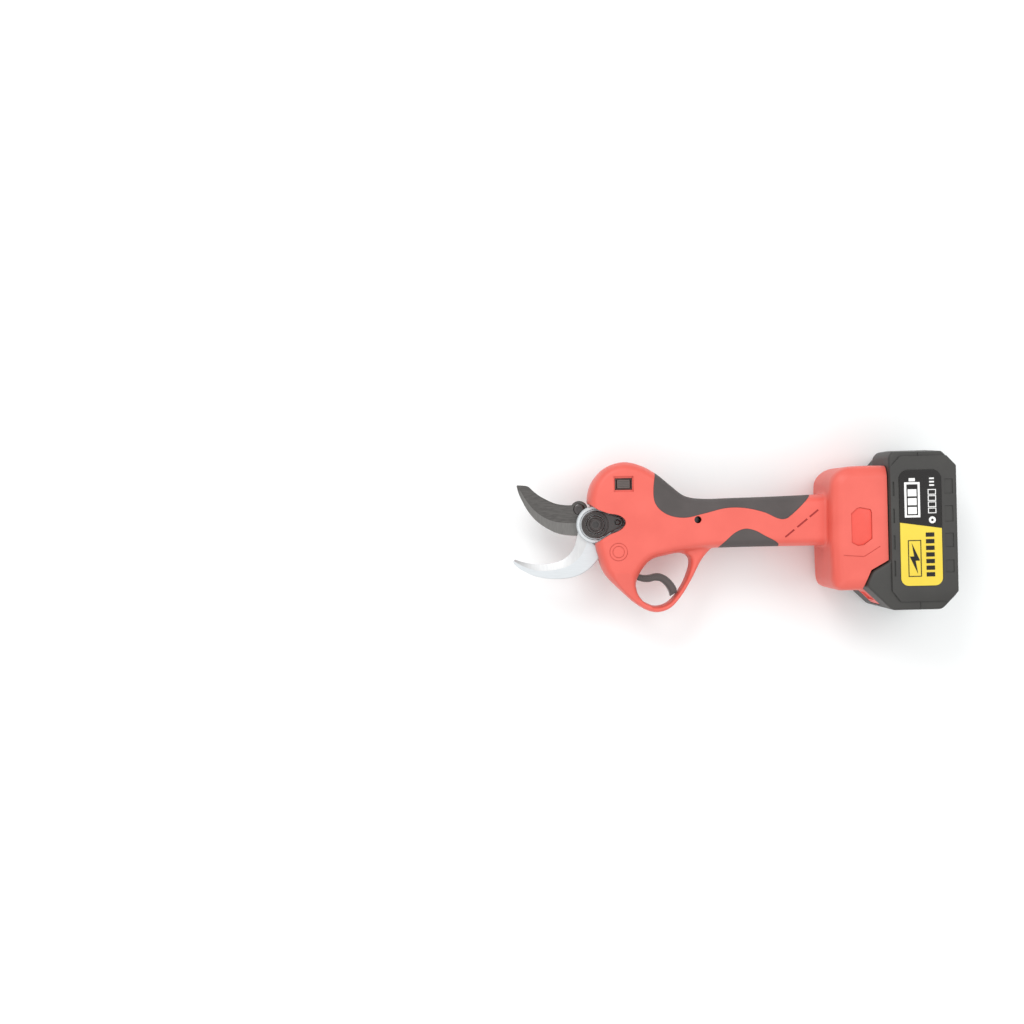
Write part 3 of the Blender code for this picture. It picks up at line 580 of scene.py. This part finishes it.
def build_casing():
    whole = solid_body()
    upper, lower = curved(UPPER_GRIP), curved(LOWER_GRIP)
    grips = {}
    for word, outline in (("upper", upper), ("lower", lower)):
        keep = prism("keep", inset(outline, 0.15), -20, 90)
        grips[word] = boolean(copy_of(whole, word + "_grip"), "INTERSECT", keep)
    boolean(whole, "DIFFERENCE", prism("upper_cut", upper, -20, 90), prism("lower_cut", lower, -20, 90))
    boolean(whole, "DIFFERENCE", *mouth_tools(), *face_tools())
    for word, side in (("right", 1), ("left", -1)):
        finish_piece(half(whole, "shell_" + word, side), "red", "tool", "housing_" + word)
        for place, grip in grips.items():
            node = f"{place}_grip_{word}"
            finish_piece(half(grip, node + "_cover", side), "rubber", "tool", node)
    for item in (whole, *grips.values()):
        bpy.data.objects.remove(item)
    dash_shade_and_hex_panels()


# ---------------------------------------------------------------- cutting head
def along(points, count):
    """Evenly spaced points on a smooth open curve through (x, y) points."""
    dense = []
    for i in range(len(points) - 1):
        p0, p1 = Vector(points[max(i - 1, 0)]), Vector(points[i])
        p2, p3 = Vector(points[i + 1]), Vector(points[min(i + 2, len(points) - 1)])
        for k in range(12):
            t = k / 12
            dense.append(0.5 * (2 * p1 + (p2 - p0) * t + (2 * p0 - 5 * p1 + 4 * p2 - p3) * t**2
                                + (3 * p1 - p0 - 3 * p2 + p3) * t**3))
    dense.append(Vector(points[-1]))
    lengths = [0.0]
    for a, b in zip(dense, dense[1:]):
        lengths.append(lengths[-1] + (b - a).length)
    result, spot = [], 0
    for k in range(count):
        goal = lengths[-1] * k / (count - 1)
        while spot < len(lengths) - 2 and lengths[spot + 1] < goal:
            spot += 1
        share = (goal - lengths[spot]) / max(lengths[spot + 1] - lengths[spot], 1e-9)
        result.append(dense[spot].lerp(dense[spot + 1], min(max(share, 0), 1)))
    return result


def ground_blade(name, looks, back, ridge, edge, low, high, edge_high, stations=72):
    """Blade lofted from tip to root between its back, the ridge where the bevel starts, and its edge.
    The second look is for the ground bevel."""
    form = bmesh.new()
    rows = []
    for b, r, e in zip(along(back, stations), along(ridge, stations), along(edge, stations)):
        corners = ((b, low), (b, high - 0.35), (b.lerp(r, 0.06), high), (r, high), (e, edge_high), (e, low))
        rows.append([form.verts.new((p.x, p.y, z)) for p, z in corners])
    for one, two in zip(rows, rows[1:]):
        for k in range(6):
            face = form.faces.new((one[k], one[(k + 1) % 6], two[(k + 1) % 6], two[k]))
            face.material_index = int(k == 3)
    form.faces.new(rows[0])
    form.faces.new(rows[-1])
    bmesh.ops.recalc_face_normals(form, faces=form.faces)
    blade = fresh(name, form)
    for look in looks:
        blade.data.materials.append(MATERIALS[look])
    return blade


MOVING_BACK = (
    (-154, 38.4), (-150, 38.1), (-145.8, 37.2), (-142, 33.7), (-138, 30.5), (-133, 27.5), (-126, 24.3),
    (-118, 22.9), (-110, 22.8), (-104, 21))
MOVING_RIDGE = (
    (-153.6, 37.8), (-151.2, 33.6), (-147.4, 27), (-141.5, 19.6), (-134, 13.9), (-126, 10.8), (-118, 9.8),
    (-110, 9.6), (-102, 9.6))
MOVING_EDGE = (
    (-154.2, 37.6), (-152.8, 32.4), (-150, 26), (-146, 18.8), (-140, 11.6), (-132, 5.8), (-124, 2),
    (-116, 0.5), (-108, 0), (-101, 0))
FIXED_BACK = (
    (-157.9, -17.6), (-157.2, -19.6), (-154.2, -22.4), (-150, -25), (-142, -28.8), (-130, -31), (-118, -30.8),
    (-108, -28), (-99, -21.5), (-91, -12))
FIXED_RIDGE = (
    (-157.4, -17.1), (-155.4, -18.6), (-149, -22.0), (-141, -24.6), (-132, -25), (-124, -23.8), (-116, -21),
    (-109.5, -16), (-105.5, -10), (-103, -3))
FIXED_EDGE = (
    (-156.6, -16.2), (-154.6, -17.0), (-151, -18.2), (-144, -19.8), (-137, -20.2), (-130, -19.7),
    (-123, -17.8), (-117, -14), (-112.6, -7.6), (-110.4, 0), (-109.5, 6))


def disc(name, centre, radius, low, high, edge=0.3, steps=64):
    """Round solid with a small chamfer on its upper rim."""
    profile = ((0, high), (radius - edge, high), (radius, high - edge), (radius, low), (0, low))
    return turned(name, (*centre, 0), profile, steps=steps)


def bored(item, centre, radius):
    return boolean(item, "DIFFERENCE", disc("bore", centre, radius, 0, 80, 0, 48))


def moving_blade():
    low, high = node_span("moving_blade", 2)
    looks = "blade_dark", "blade_ground"
    blade = ground_blade("cutting_blade", looks, MOVING_BACK, MOVING_RIDGE, MOVING_EDGE, low, high,
                         high - 0.75)
    boolean(blade, "UNION", disc("hub", PIVOT, 12.5, low, high), disc("lobe", STUD, 6.2, low, high, 0.5))
    bored(blade, PIVOT, 6.2)
    bored(blade, STUD, 4.4)
    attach(blade, "blade")
    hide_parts("moving_blade")
    shaded(blade, 20)


def stud():
    """Hex-socket stud that ties the moving blade to its gear sector."""
    low, high = node_span("blade_stud", 2)
    x, y = STUD
    profile = ((0, high), (3.4, high), (4.2, high - 0.5), (4.2, high - 2.2), (3.0, high - 2.2),
               (3.0, low + 2.9), (4.7, low + 2.9), (4.7, low + 0.4), (4.2, low), (0, low))
    pin = turned("blade_stud_pin", (x, y, 0), profile, steps=48)
    socket = prism("socket", arc(STUD, 2.0, 0, 300, 5), high - 1.3, high + 1)
    finish_piece(shaded(boolean(pin, "DIFFERENCE", socket)), "black", "blade", "blade_stud")


def fixed_blade():
    low, top = node_span("fixed_blade", 2)
    high = low + 3.35
    looks = "blade_bright", "blade_honed"
    blade = ground_blade("hooked_blade", looks, FIXED_BACK, FIXED_RIDGE, FIXED_EDGE, low, high, low + 2.0)
    profile = ((10.9, top - 0.5), (11.4, top), (13.1, top), (13.75, top - 0.6), (13.75, low), (4.3, low),
               (4.3, top - 0.5))
    ring = turned("ring", (*PIVOT, 0), profile, steps=96)
    boolean(blade, "UNION", ring, prism("tail", teardrop(9.8, 3.4), low, top - 0.25))
    bored(blade, PIVOT, 4.4)
    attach(blade, "tool")
    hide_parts("fixed_blade")
    shaded(blade, 7.5)


def teardrop(radius, tail):
    """Disc round the pivot drawn out to a smaller disc round the lock screw."""
    across = math.degrees(math.acos((radius - tail) / (LOCK_SCREW[0] - PIVOT[0])))
    return arc(PIVOT, radius, across, 360 - across, 56) + arc(LOCK_SCREW, tail, -across, across, 20)


def lock_plate():
    low, high = node_span("lock_plate", 2)
    plate = bevelled(prism("bolt_lock_plate", teardrop(10.2, 3.9), low, high), 0.6)
    for middle, width in ((9.2, 0.65), (7.75, 0.45)):
        foot = [(middle - width, high - 0.9), (middle + width, high - 0.9)]
        ridge = arc((middle, high - 0.3), width, 0, 180, 8) + foot
        boolean(plate, "UNION", turned("ridge", (*PIVOT, 0), ridge, steps=96))
    bored(plate, PIVOT, 7.0)
    bored(plate, LOCK_SCREW, 2.55)
    finish_piece(shaded(plate), "black", "tool", "lock_plate")


def blade_bolt():
    top = node_span("blade_bolt", 2)[1]
    low = node_span("lock_plate", 2)[0]
    rim, lip = arc((5.7, top - 1.0), 0.6, 170, 0, 6), arc((3.9, top - 0.5), 0.5, 170, 0, 6)
    profile = ((0, top - 0.6), *lip, (4.7, top - 1.0), *rim, (6.7, top - 1.7), (6.7, low), (4.0, low),
               (4.0, 17.6), (0, 17.6))
    bolt = turned("pivot_bolt", (*PIVOT, 0), profile)
    boolean(bolt, "DIFFERENCE", prism("socket", arc(PIVOT, 2.5, 10, 310, 5), top - 3.4, top + 1))
    finish_piece(shaded(bolt), "black", "tool", "blade_bolt")


def lock_screw():
    top = node_span("lock_screw", 2)[1]
    low = node_span("lock_plate", 2)[0]
    profile = ((0, top), (1.5, top - 0.05), (2.2, top - 0.5), (2.3, top - 0.9), (2.3, low), (1.3, low),
               (1.3, 40), (0, 40))
    screw = turned("plate_screw", (*LOCK_SCREW, 0), profile, steps=40)
    cross = ((-0.22, -1.3), (0.22, -1.3), (0.22, -0.22), (1.3, -0.22), (1.3, 0.22), (0.22, 0.22),
             (0.22, 1.3), (-0.22, 1.3), (-0.22, 0.22), (-1.3, 0.22), (-1.3, -0.22), (-0.22, -0.22))
    slots = prism("slot", cross, top - 0.7, top + 1)
    slots.data.transform(Matrix.Translation((LOCK_SCREW[0] * MM, LOCK_SCREW[1] * MM, 0)))
    finish_piece(shaded(boolean(screw, "DIFFERENCE", slots)), "black", "tool", "lock_screw")


def build_head():
    fixed_blade()
    moving_blade()
    stud()
    lock_plate()
    blade_bolt()
    lock_screw()


# ---------------------------------------------------------------- controls
TRIGGER_OUTLINE = (
    (-74, -25.8), (-77.4, -30), (-74, -34.2), (-69.5, -33.0), (-63, -34.6), (-58.5, -34.9), (-54, -34.0),
    (-49.8, -35.0), (-46.2, -38.4), (-43.8, -42.6), (-43.2, -45.6, 1), (-38.2, -42.6, 1), (-38.6, -39.8),
    (-40.8, -35.9), (-44.6, -31.8), (-49, -29.2), (-53.5, -28.7), (-58, -29.7), (-62.5, -29.8),
    (-66, -28.8), (-69.5, -27.4))


def trigger():
    """Curved finger lever with a raised pad along its middle."""
    low, high = node_span("trigger", 2)
    outline = curved(TRIGGER_OUTLINE, 6)
    lever = bevelled(prism("finger_lever", outline, low + 1.1, high - 1.1), 0.7)
    pad = bevelled(prism("pad", shrunk(outline, 1.5), low, high), 0.9, 4)
    boolean(lever, "UNION", pad)
    bored(lever, TRIGGER_PIVOT, 1.8)
    finish_piece(shaded(lever), "lever", "trigger_lever", "trigger")


def switch():
    """Rocker switch: a frame in the recess and a rocker with grip ribs."""
    x, y = SWITCH
    low, high = node_span("switch_body", 2)
    frame_piece = bevelled(block("switch_frame", (x - 6, y - 4, low), (x + 6, y + 4, high)), 0.5)
    pocket = block("pocket", (x - 5.4, y - 3.4, MID + 11.6), (x + 5.4, y + 3.4, MID + 20))
    boolean(frame_piece, "DIFFERENCE", pocket)
    finish_piece(shaded(frame_piece), "switch", "tool", "switch_body")
    low, high = node_span("power_rocker", 2)
    rocker = bevelled(block("rocker_key", (x - 4.7, y - 3.1, low), (x + 4.7, y + 3.1, high)), 0.5)
    for shift in (-1.8, -0.6, 0.6, 1.8):
        groove = block("groove", (x - 4, y + shift - 0.25, high - 0.4), (x + 4, y + shift + 0.25, high + 1))
        boolean(rocker, "DIFFERENCE", groove)
    finish_piece(shaded(rocker), "switch", "rocker", "power_rocker")


# ---------------------------------------------------------------- battery
CASE_OUTLINE = (
    (93.2, -40.0), (111, -57.3), (146.5, -57.3), (149, -55), (158, -46), (158, 46), (149, 54.8),
    (146.5, 57.3), (114, 56.8), (110.2, 52.5), (110.2, -22.3), (97.8, -29.2), (94.6, -35.6))
CASE_ROOM = (*CASE_OUTLINE[:8], (124, 57), (110.2, 42), *CASE_OUTLINE[10:])
PLATE_OUTLINE = (
    (110.6, -43.5), (116.5, -51.2), (151, -51.2), (157.8, -44.5), (157.8, 45), (151, 52.3), (118, 52.3),
    (110.6, 44))
LABEL_OUTLINE = (
    (117, -35), (122, -40), (141.5, -40), (146.5, -35), (146.5, 37), (141.5, 42), (122, 42), (117, 37))
CASE_LOW, CASE_HIGH = node_span("battery_upper_case", 2)
SPLIT_X = 131.0
BUTTON = (101.9, -48.7, MID)
BUTTON_ANGLE = 135.8
LABEL_TOP = BATTERY_TOP - 0.2             # printed film; the printed marks stand 0.2 above it


def slanted(item, spot, degrees):
    """Turn a solid about Z through the origin and carry it to a spot."""
    place = Matrix.Translation(Vector(spot) * MM) @ Matrix.Rotation(math.radians(degrees), 4, "Z")
    item.data.transform(place)
    return item


def wedge(name, points, low, high):
    """Prism along Y from points in (x, z)."""
    solid = prism(name, points, -high, -low)
    solid.data.transform(Matrix.Rotation(math.radians(90), 4, "X"))
    return solid


def battery_shell():
    """Hollow battery case with softened rims and a slanted lower front edge."""
    case = bevelled(prism("case", CASE_OUTLINE, CASE_LOW, CASE_HIGH), 2.4, 4)
    boolean(case, "UNION",
            bevelled(block("rail_neck", (105.6, -30, MID - 18.4), (112.5, 42.4, MID + 18.4)), 0.6),
            bevelled(block("rail_head", (102.2, -36, MID - 22.4), (106, 42.4, MID + 22.4)), 0.8))
    boolean(case, "DIFFERENCE", prism("room", inset(CASE_ROOM, 3.4), CASE_LOW + 3, CASE_HIGH - 3),
            prism("corner", ((104, 66), (104, 36.4), (130.1, 66)), -5, 30),
            slanted(block("pocket", (-9.2, -7.0, -12.3), (9.2, 4, 12.3)), BUTTON, BUTTON_ANGLE))
    boolean(case, "DIFFERENCE", wedge("slope", ((108, 14), (110.1, 14), (113.6, 1), (108, 1)), -20, 60))
    for side in (1, -1):
        draft = [(y, MID + side * z) for y, z in ((57.4, 5), (55.1, 38), (62, 38), (62, 5))]
        boolean(case, "DIFFERENCE", along_x("draft", draft, 60, 170))
    for z in (MID - 10, MID, MID + 10):
        boolean(case, "DIFFERENCE", block("contact_slot", (90, 4, z - 0.9), (103.6, 26, z + 0.9)))
    return case


def build_cases():
    whole = battery_shell()
    for name, node, low, high in (("case_rail_side", "battery_upper_case", 60, SPLIT_X - 0.15),
                                  ("case_base_side", "battery_lower_case", SPLIT_X + 0.15, 170)):
        piece = boolean(copy_of(whole, name), "INTERSECT", block("span", (low, -70, -5), (high, 70, 81)))
        if low > SPLIT_X:
            bored(piece, GAUGE, 2.9)
        finish_piece(shaded(piece), "case", "battery", node)
    bpy.data.objects.remove(whole)


def side_plates():
    """Flat covers on both sides; the right one has slots, panels and the gauge bore."""
    low, high = node_span("battery_plate_right", 2)
    right = bevelled(prism("cover_right", PLATE_OUTLINE, low, high), 1.3, 4)
    for bottom, top in ((24, 34), (5, 15), (-14, -4), (-33, -22)):
        boolean(right, "DIFFERENCE", block("slot", (112.2, bottom, high - 0.9), (113.5, top, high + 1)))
    for bottom, top in ((25, 35.5), (5, 16.5), (-13, -3), (-31, -22)):
        panel = bevelled(block("panel", (149, bottom, high - 0.7), (155, top, high + 1)), 0.2, 1)
        boolean(right, "DIFFERENCE", panel)
    boolean(right, "DIFFERENCE", prism("label_seat", inset(LABEL_OUTLINE, -0.5), high - 0.35, high + 1))
    bored(right, GAUGE, 2.9)
    finish_piece(shaded(right), "case", "battery", "battery_plate_right")
    low, high = node_span("battery_plate_left", 2)
    left = bevelled(prism("cover_left", PLATE_OUTLINE, low, high), 0.9, 3)
    for y in (-36, -18, 0, 18, 36):
        boolean(left, "DIFFERENCE", block("rib", (120, y - 1.2, low - 1), (150, y + 1.2, low + 0.6)))
    finish_piece(shaded(left), "case", "battery", "battery_plate_left")


def film(name, outline, look):
    """Printed film on the right-hand plate."""
    base = node_span("battery_plate_right", 2)[1] - 0.3
    piece = bored(prism(name, outline, base, LABEL_TOP), GAUGE, 2.9)
    return finish_piece(shaded(piece), look, "battery", "battery_label")


def printed(name, look, shapes):
    """Printed marks, each an outline with an optional hole, as one thin piece on the film."""
    items = []
    for number, shape in enumerate(shapes):
        solid = prism(f"mark_{number}", shape[0], LABEL_TOP + 0.01, BATTERY_TOP)
        if len(shape) > 1:
            boolean(solid, "DIFFERENCE", prism("gap", shape[1], 60, 90))
        items.append(solid)
    finish_piece(shaded(joined(name, items)), look, "battery")


def oblong(x0, y0, x1, y1):
    return ((x0, y0), (x1, y0), (x1, y1), (x0, y1))


def framed(x0, y0, x1, y1, line):
    return oblong(x0, y0, x1, y1), oblong(x0 + line, y0 + line, x1 - line, y1 - line)


def build_label():
    """Black and yellow film with a battery symbol, a charge gauge, a bolt and plain bars."""
    line = ((117, 5.4), (146.5, 1.0))
    upper = (*line, *arc((141, 36.5), 5.5, 0, 90, 8), *arc((122.5, 36.5), 5.5, 90, 180, 8))
    lower = (*arc((122.5, -34.5), 5.5, 180, 270, 8), *arc((141, -34.5), 5.5, 270, 360, 8),
             (146.5, 0.5), (117, 4.9))
    film("label_upper", upper, "label_black")
    film("label_lower", lower, "label_yellow")
    symbol = [framed(120.4, 8.5, 131.4, 33.5, 1.5), (oblong(123.7, 34.1, 128.1, 36.4),)]
    symbol += [(oblong(122.8, y, 129, y + 5.0),) for y in (10.9, 17.2, 23.5)]
    symbol += [framed(137, y, 142.8, y + 3.9, 0.55) for y in (11.2, 15.6, 20.0, 24.4)]
    symbol += [(oblong(138.2, y, 141.6, y + 1.1),) for y in (30.6, 33.0, 35.4)]
    printed("gauge_marks", "label_white", symbol)
    bolt = ((128.9, -31.5), (123.3, -19.2), (126.4, -19.2), (124.9, -9.8), (130.5, -22.2), (127.4, -22.2))
    marks = [framed(122.2, -33.6, 131.6, -7.6, 0.6), (bolt,)]
    marks += [(oblong(135, y, 141, y + 3.0),) for y in (-33.6, -28.9, -24.2, -19.5, -14.8, -10.1, -5.4)]
    printed("type_marks", "label_black", marks)


def gauge_button():
    """White ring-shaped key with a black dot in its dish."""
    low, high = node_span("gauge_button", 2)
    x, y = GAUGE
    profile = ((0, high - 0.35), (1.5, high - 0.3), (2.0, high), (2.3, high), (2.5, high - 0.25),
               (2.5, low), (0, low))
    key = shaded(turned("gauge_key", (x, y, 0), profile, steps=48))
    finish_piece(key, "label_white", "gauge", "gauge_button")
    dot = shaded(disc("gauge_dot", GAUGE, 0.9, high - 0.34, high - 0.2, 0.05, 32))
    finish_piece(dot, "label_black", "gauge")


def release_button():
    """Red button in the slanted foot with a rounded finger groove."""
    button = bevelled(block("release_key", (-8.8, -3.2, -11.9), (8.8, -0.2, 11.9)), 0.7)
    groove = bevelled(block("groove", (-4.2, -1.5, -8.8), (4.2, 3, 8.8)), 1.1, 4)
    boolean(button, "DIFFERENCE", groove)
    finish_piece(shaded(slanted(button, BUTTON, BUTTON_ANGLE)), "red_button", "release", "release_button")


def build_battery():
    build_cases()
    side_plates()
    build_label()
    gauge_button()
    release_button()


# ---------------------------------------------------------------- parts carried over from the frame
LOOK_OF_SLOT = {
    "steel": "steel", "bright_steel": "steel", "dark_steel": "blade_dark", "bronze": "bronze",
    "copper": "copper",
    "board": "board", "cell_wrap": "cell", "black_plastic": "black", "battery_plastic": "case",
    "red_plastic": "red", "grip_rubber": "rubber", "label": "label_yellow", "white_plastic": "label_white"}


def dress_inner_parts():
    """Materials for the mechanism, electronics and cells that keep their CAD shape."""
    for item in bpy.context.scene.objects:
        if item.type == "MESH" and not item.hide_render:
            for slot in item.material_slots:
                look = LOOK_OF_SLOT.get(slot.material.name.split(".")[0]) if slot.material else None
                if item.name.startswith("case_screw"):
                    look = "black"
                if look:
                    slot.material = MATERIALS[look]


# ---------------------------------------------------------------- studio and camera
SKY_STRENGTH = 0.63
FLOOR_REACH = 4000                       # half side of the floor
CAMERA_PLACE = (-0.158, 0.0188, 1.038)   # metres, looking straight down
CAMERA_ROLL = -1.3                       # degrees
LENS, SENSOR = 47.7, 36


def area_light(name, place, aim, size, power):
    lamp = bpy.data.lights.new(name, "AREA")
    lamp.shape = "DISK"
    lamp.size = size
    lamp.energy = power
    item = bpy.data.objects.new(name, lamp)
    item.location = place
    item.rotation_euler = (Vector(aim) - Vector(place)).to_track_quat("-Z", "Y").to_euler()
    bpy.context.scene.collection.objects.link(item)


def studio():
    """Pale floor, a near-white sky and four soft lights."""
    form = bmesh.new()
    bmesh.ops.create_grid(form, size=FLOOR_REACH)
    floor = fresh("floor", form)
    made, shader = node_material("floor_white", (0.94, 0.955, 0.955, 1), 0.75, specular=0.2)
    vary_roughness(made, shader, 3, 0.7, 0.8)
    floor.data.materials.append(made)
    bpy.context.scene.view_settings.view_transform = "Standard"
    sky = bpy.context.scene.world or bpy.data.worlds.new("sky")
    bpy.context.scene.world = sky
    sky.use_nodes = True
    sky.node_tree.nodes["Background"].inputs["Color"].default_value = (1, 1, 1, 1)
    sky.node_tree.nodes["Background"].inputs["Strength"].default_value = SKY_STRENGTH
    area_light("overhead", (0, 0, 1.6), (0, 0, 0), 2.6, 11)
    area_light("key", (-0.5, 0.9, 1.1), (0, 0, 0.03), 0.7, 6)
    area_light("fill", (0.9, 0.5, 1.3), (0, 0, 0.03), 1.1, 3.5)
    area_light("low", (-0.2, -1.1, 1.0), (0, 0, 0.03), 1.1, 3)


def camera():
    """Camera above the tool that frames it to the right of the middle."""
    lens = bpy.data.cameras.new("photo_camera")
    lens.lens = LENS
    lens.sensor_width = SENSOR
    lens.clip_start = 0.05
    item = bpy.data.objects.new("photo_camera", lens)
    item.location = CAMERA_PLACE
    item.rotation_euler = (0, 0, math.radians(CAMERA_ROLL))
    bpy.context.scene.collection.objects.link(item)
    bpy.context.scene.camera = item


def main():
    build_casing()
    build_head()
    trigger()
    switch()
    build_battery()
    dress_inner_parts()
    studio()
    camera()


main()
